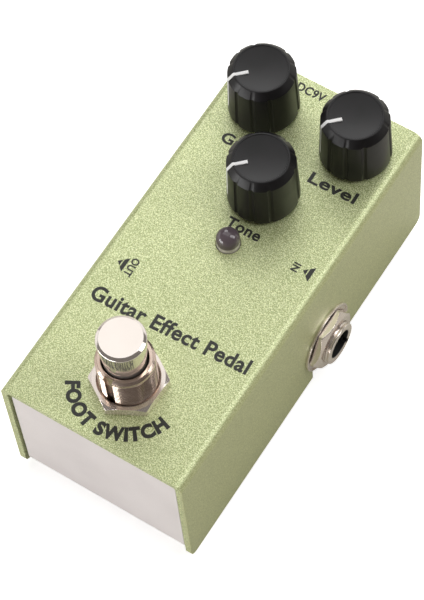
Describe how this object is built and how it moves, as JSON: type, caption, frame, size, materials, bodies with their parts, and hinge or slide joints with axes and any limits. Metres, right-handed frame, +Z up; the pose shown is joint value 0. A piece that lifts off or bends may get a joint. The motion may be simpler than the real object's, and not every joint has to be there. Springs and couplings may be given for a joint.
{
  "type": "guitar effects pedal",
  "caption": "Small guitar effects pedal: painted box with fluted knobs, an indicator lamp, a latching footswitch, side jacks and a power inlet.",
  "frame": {"origin": "centre of the rubber pad's underside, which is the bottom centre of the whole pedal", "axes": "+X to the player's right, out of the input jack; +Y to the rear, out of the power inlet; +Z up, out of the footswitch"},
  "size_m": [0.0492, 0.0908, 0.0552],
  "materials": {
    "green_paint": "fine metallic paint with a sparkling grain",
    "bare_aluminium": "satin",
    "black_plastic": "moulded, satin",
    "white_plastic": "moulded",
    "chrome": "polished",
    "nickel": "nickel plated, turned",
    "steel": "zinc plated",
    "rubber": "fine texture",
    "smoky_lens": "smoky clear",
    "tinned_metal": "tinned",
    "brass": "stamped",
    "green_board": "varnished glass fibre",
    "brown_phenolic": "pressed sheet",
    "blue_plastic": "moulded",
    "film_red": "dipped",
    "resistor_tan": "lacquered",
    "ribbon_grey": "extruded"
  },
  "bodies": {
    "case": {"base_screws": "steel", "base_tray": "bare_aluminium", "board_header_pins": "tinned_metal", "dc_jack_body": "black_plastic", "dc_jack_contact": "tinned_metal", "dc_jack_pin": "nickel", "electrolytic_capacitors": "black_plastic", "film_capacitors": "film_red", "gain_pot_housing": "steel", "gain_pot_wafer": "brown_phenolic", "input_jack_body": "black_plastic", "input_jack_bushing": "nickel", "input_jack_sleeve_contact": "tinned_metal", "input_jack_tip_contact": "tinned_metal", "jack_board": "green_board", "jack_nuts": "nickel", "jack_washers": "nickel", "led_leads": "tinned_metal", "led_lens": "smoky_lens", "led_spacer": "black_plastic", "level_pot_housing": "steel", "level_pot_wafer": "brown_phenolic", "main_board": "green_board", "op_amp_chip": "black_plastic", "output_jack_body": "black_plastic", "output_jack_bushing": "nickel", "output_jack_sleeve_contact": "tinned_metal", "output_jack_tip_contact": "tinned_metal", "pot_nuts": "nickel", "pot_washers": "nickel", "resistors": "resistor_tan", "ribbon_cable": "ribbon_grey", "ribbon_connectors": "black_plastic", "rubber_pad": "rubber", "switch_board": "green_board", "switch_body": "blue_plastic", "switch_bushing": "nickel", "switch_frame": "steel", "switch_inner_nut": "nickel", "switch_lock_washer": "steel", "switch_lugs": "tinned_metal", "switch_nut": "nickel", "switch_rockers": "brass", "switch_spring": "steel", "tone_pot_housing": "steel", "tone_pot_wafer": "brown_phenolic", "top_cover": "green_paint"},
    "gain_control": {"gain_knob": "black_plastic", "gain_knob_pointer": "white_plastic", "gain_pot_shaft": "steel"},
    "level_control": {"level_knob": "black_plastic", "level_knob_pointer": "white_plastic", "level_pot_shaft": "steel"},
    "tone_control": {"tone_knob": "black_plastic", "tone_knob_pointer": "white_plastic", "tone_pot_shaft": "steel"},
    "switch_button": {"switch_cap": "chrome", "switch_plunger": "brass"}
  },
  "joints": [
    {"name": "gain_turn", "type": "hinge", "parent": "case", "child": "gain_control", "pos_m": [-0.0106, 0.0353, 0.0357], "axis": [0, 0, -1], "range_deg": [0, 270]},
    {"name": "level_turn", "type": "hinge", "parent": "case", "child": "level_control", "pos_m": [0.0112, 0.0353, 0.0357], "axis": [0, 0, -1], "range_deg": [0, 270]},
    {"name": "tone_turn", "type": "hinge", "parent": "case", "child": "tone_control", "pos_m": [0.0003, 0.0176, 0.0357], "axis": [0, 0, -1], "range_deg": [0, 270]},
    {"name": "switch_press", "type": "slide", "parent": "case", "child": "switch_button", "axis": [0, 0, -1], "range_m": [0, 0.003], "stiffness_N_per_m": 4000, "springref_m": -0.002, "deforming": ["switch_spring"]}
  ]
}
